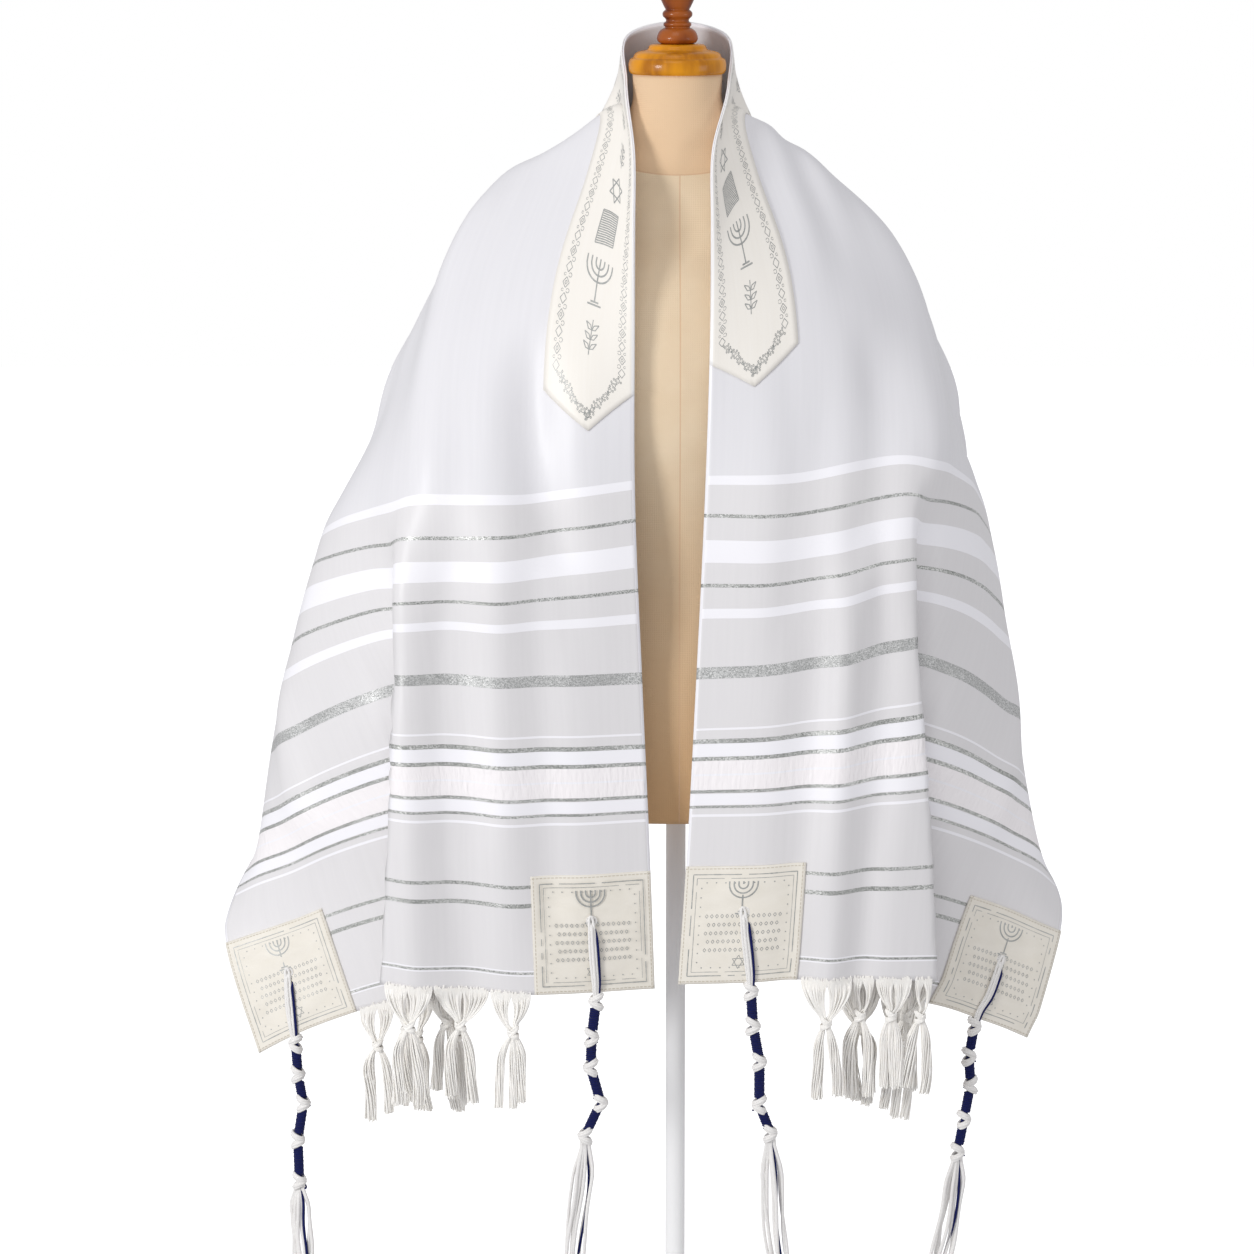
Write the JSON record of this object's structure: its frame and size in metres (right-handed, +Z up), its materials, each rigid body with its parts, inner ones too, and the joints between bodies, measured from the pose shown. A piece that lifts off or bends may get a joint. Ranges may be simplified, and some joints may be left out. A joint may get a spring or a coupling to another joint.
{
  "type": "tallit prayer shawl draped on a limbless dress form",
  "caption": "White satin prayer shawl with silver stripes, ivory neckband, cream corner patches, knotted fringe and corner tassels, worn on a linen dress form.",
  "frame": {"origin": "centre of the round base plate's underside, on the floor and on the axis of the form's neck", "axes": "+Z up, -Y toward the viewer in front of the shawl's opening, +X toward that viewer's right"},
  "size_m": [0.7686, 0.3347, 1.279],
  "materials": {
    "satin": "satin weave",
    "ivory_satin": "satin weave",
    "cream_taffeta": "plain weave",
    "fringe_yarn": "twisted yarn",
    "tassel_cord": "twisted wool cord",
    "linen": "plain weave",
    "amber_pine": "gloss lacquer",
    "red_pine": "gloss lacquer",
    "white_steel": "satin paint"
  },
  "bodies": {
    "root": {"shawl_cloth": "satin", "neckband": "ivory_satin", "patch_inner_left": "cream_taffeta", "patch_outer_left": "cream_taffeta", "patch_inner_right": "cream_taffeta", "patch_outer_right": "cream_taffeta", "fringe_left_front": "fringe_yarn", "fringe_left_fold": "fringe_yarn", "fringe_left_side": "fringe_yarn", "fringe_right_front": "fringe_yarn", "fringe_right_fold": "fringe_yarn", "fringe_right_side": "fringe_yarn", "tassel_inner_left": "tassel_cord", "tassel_outer_left": "tassel_cord", "tassel_inner_right": "tassel_cord", "tassel_outer_right": "tassel_cord", "form_torso": "linen", "neck_cap": "amber_pine", "finial": "red_pine", "stand_pole": "white_steel", "base_plate": "white_steel"}
  },
  "joints": []
}
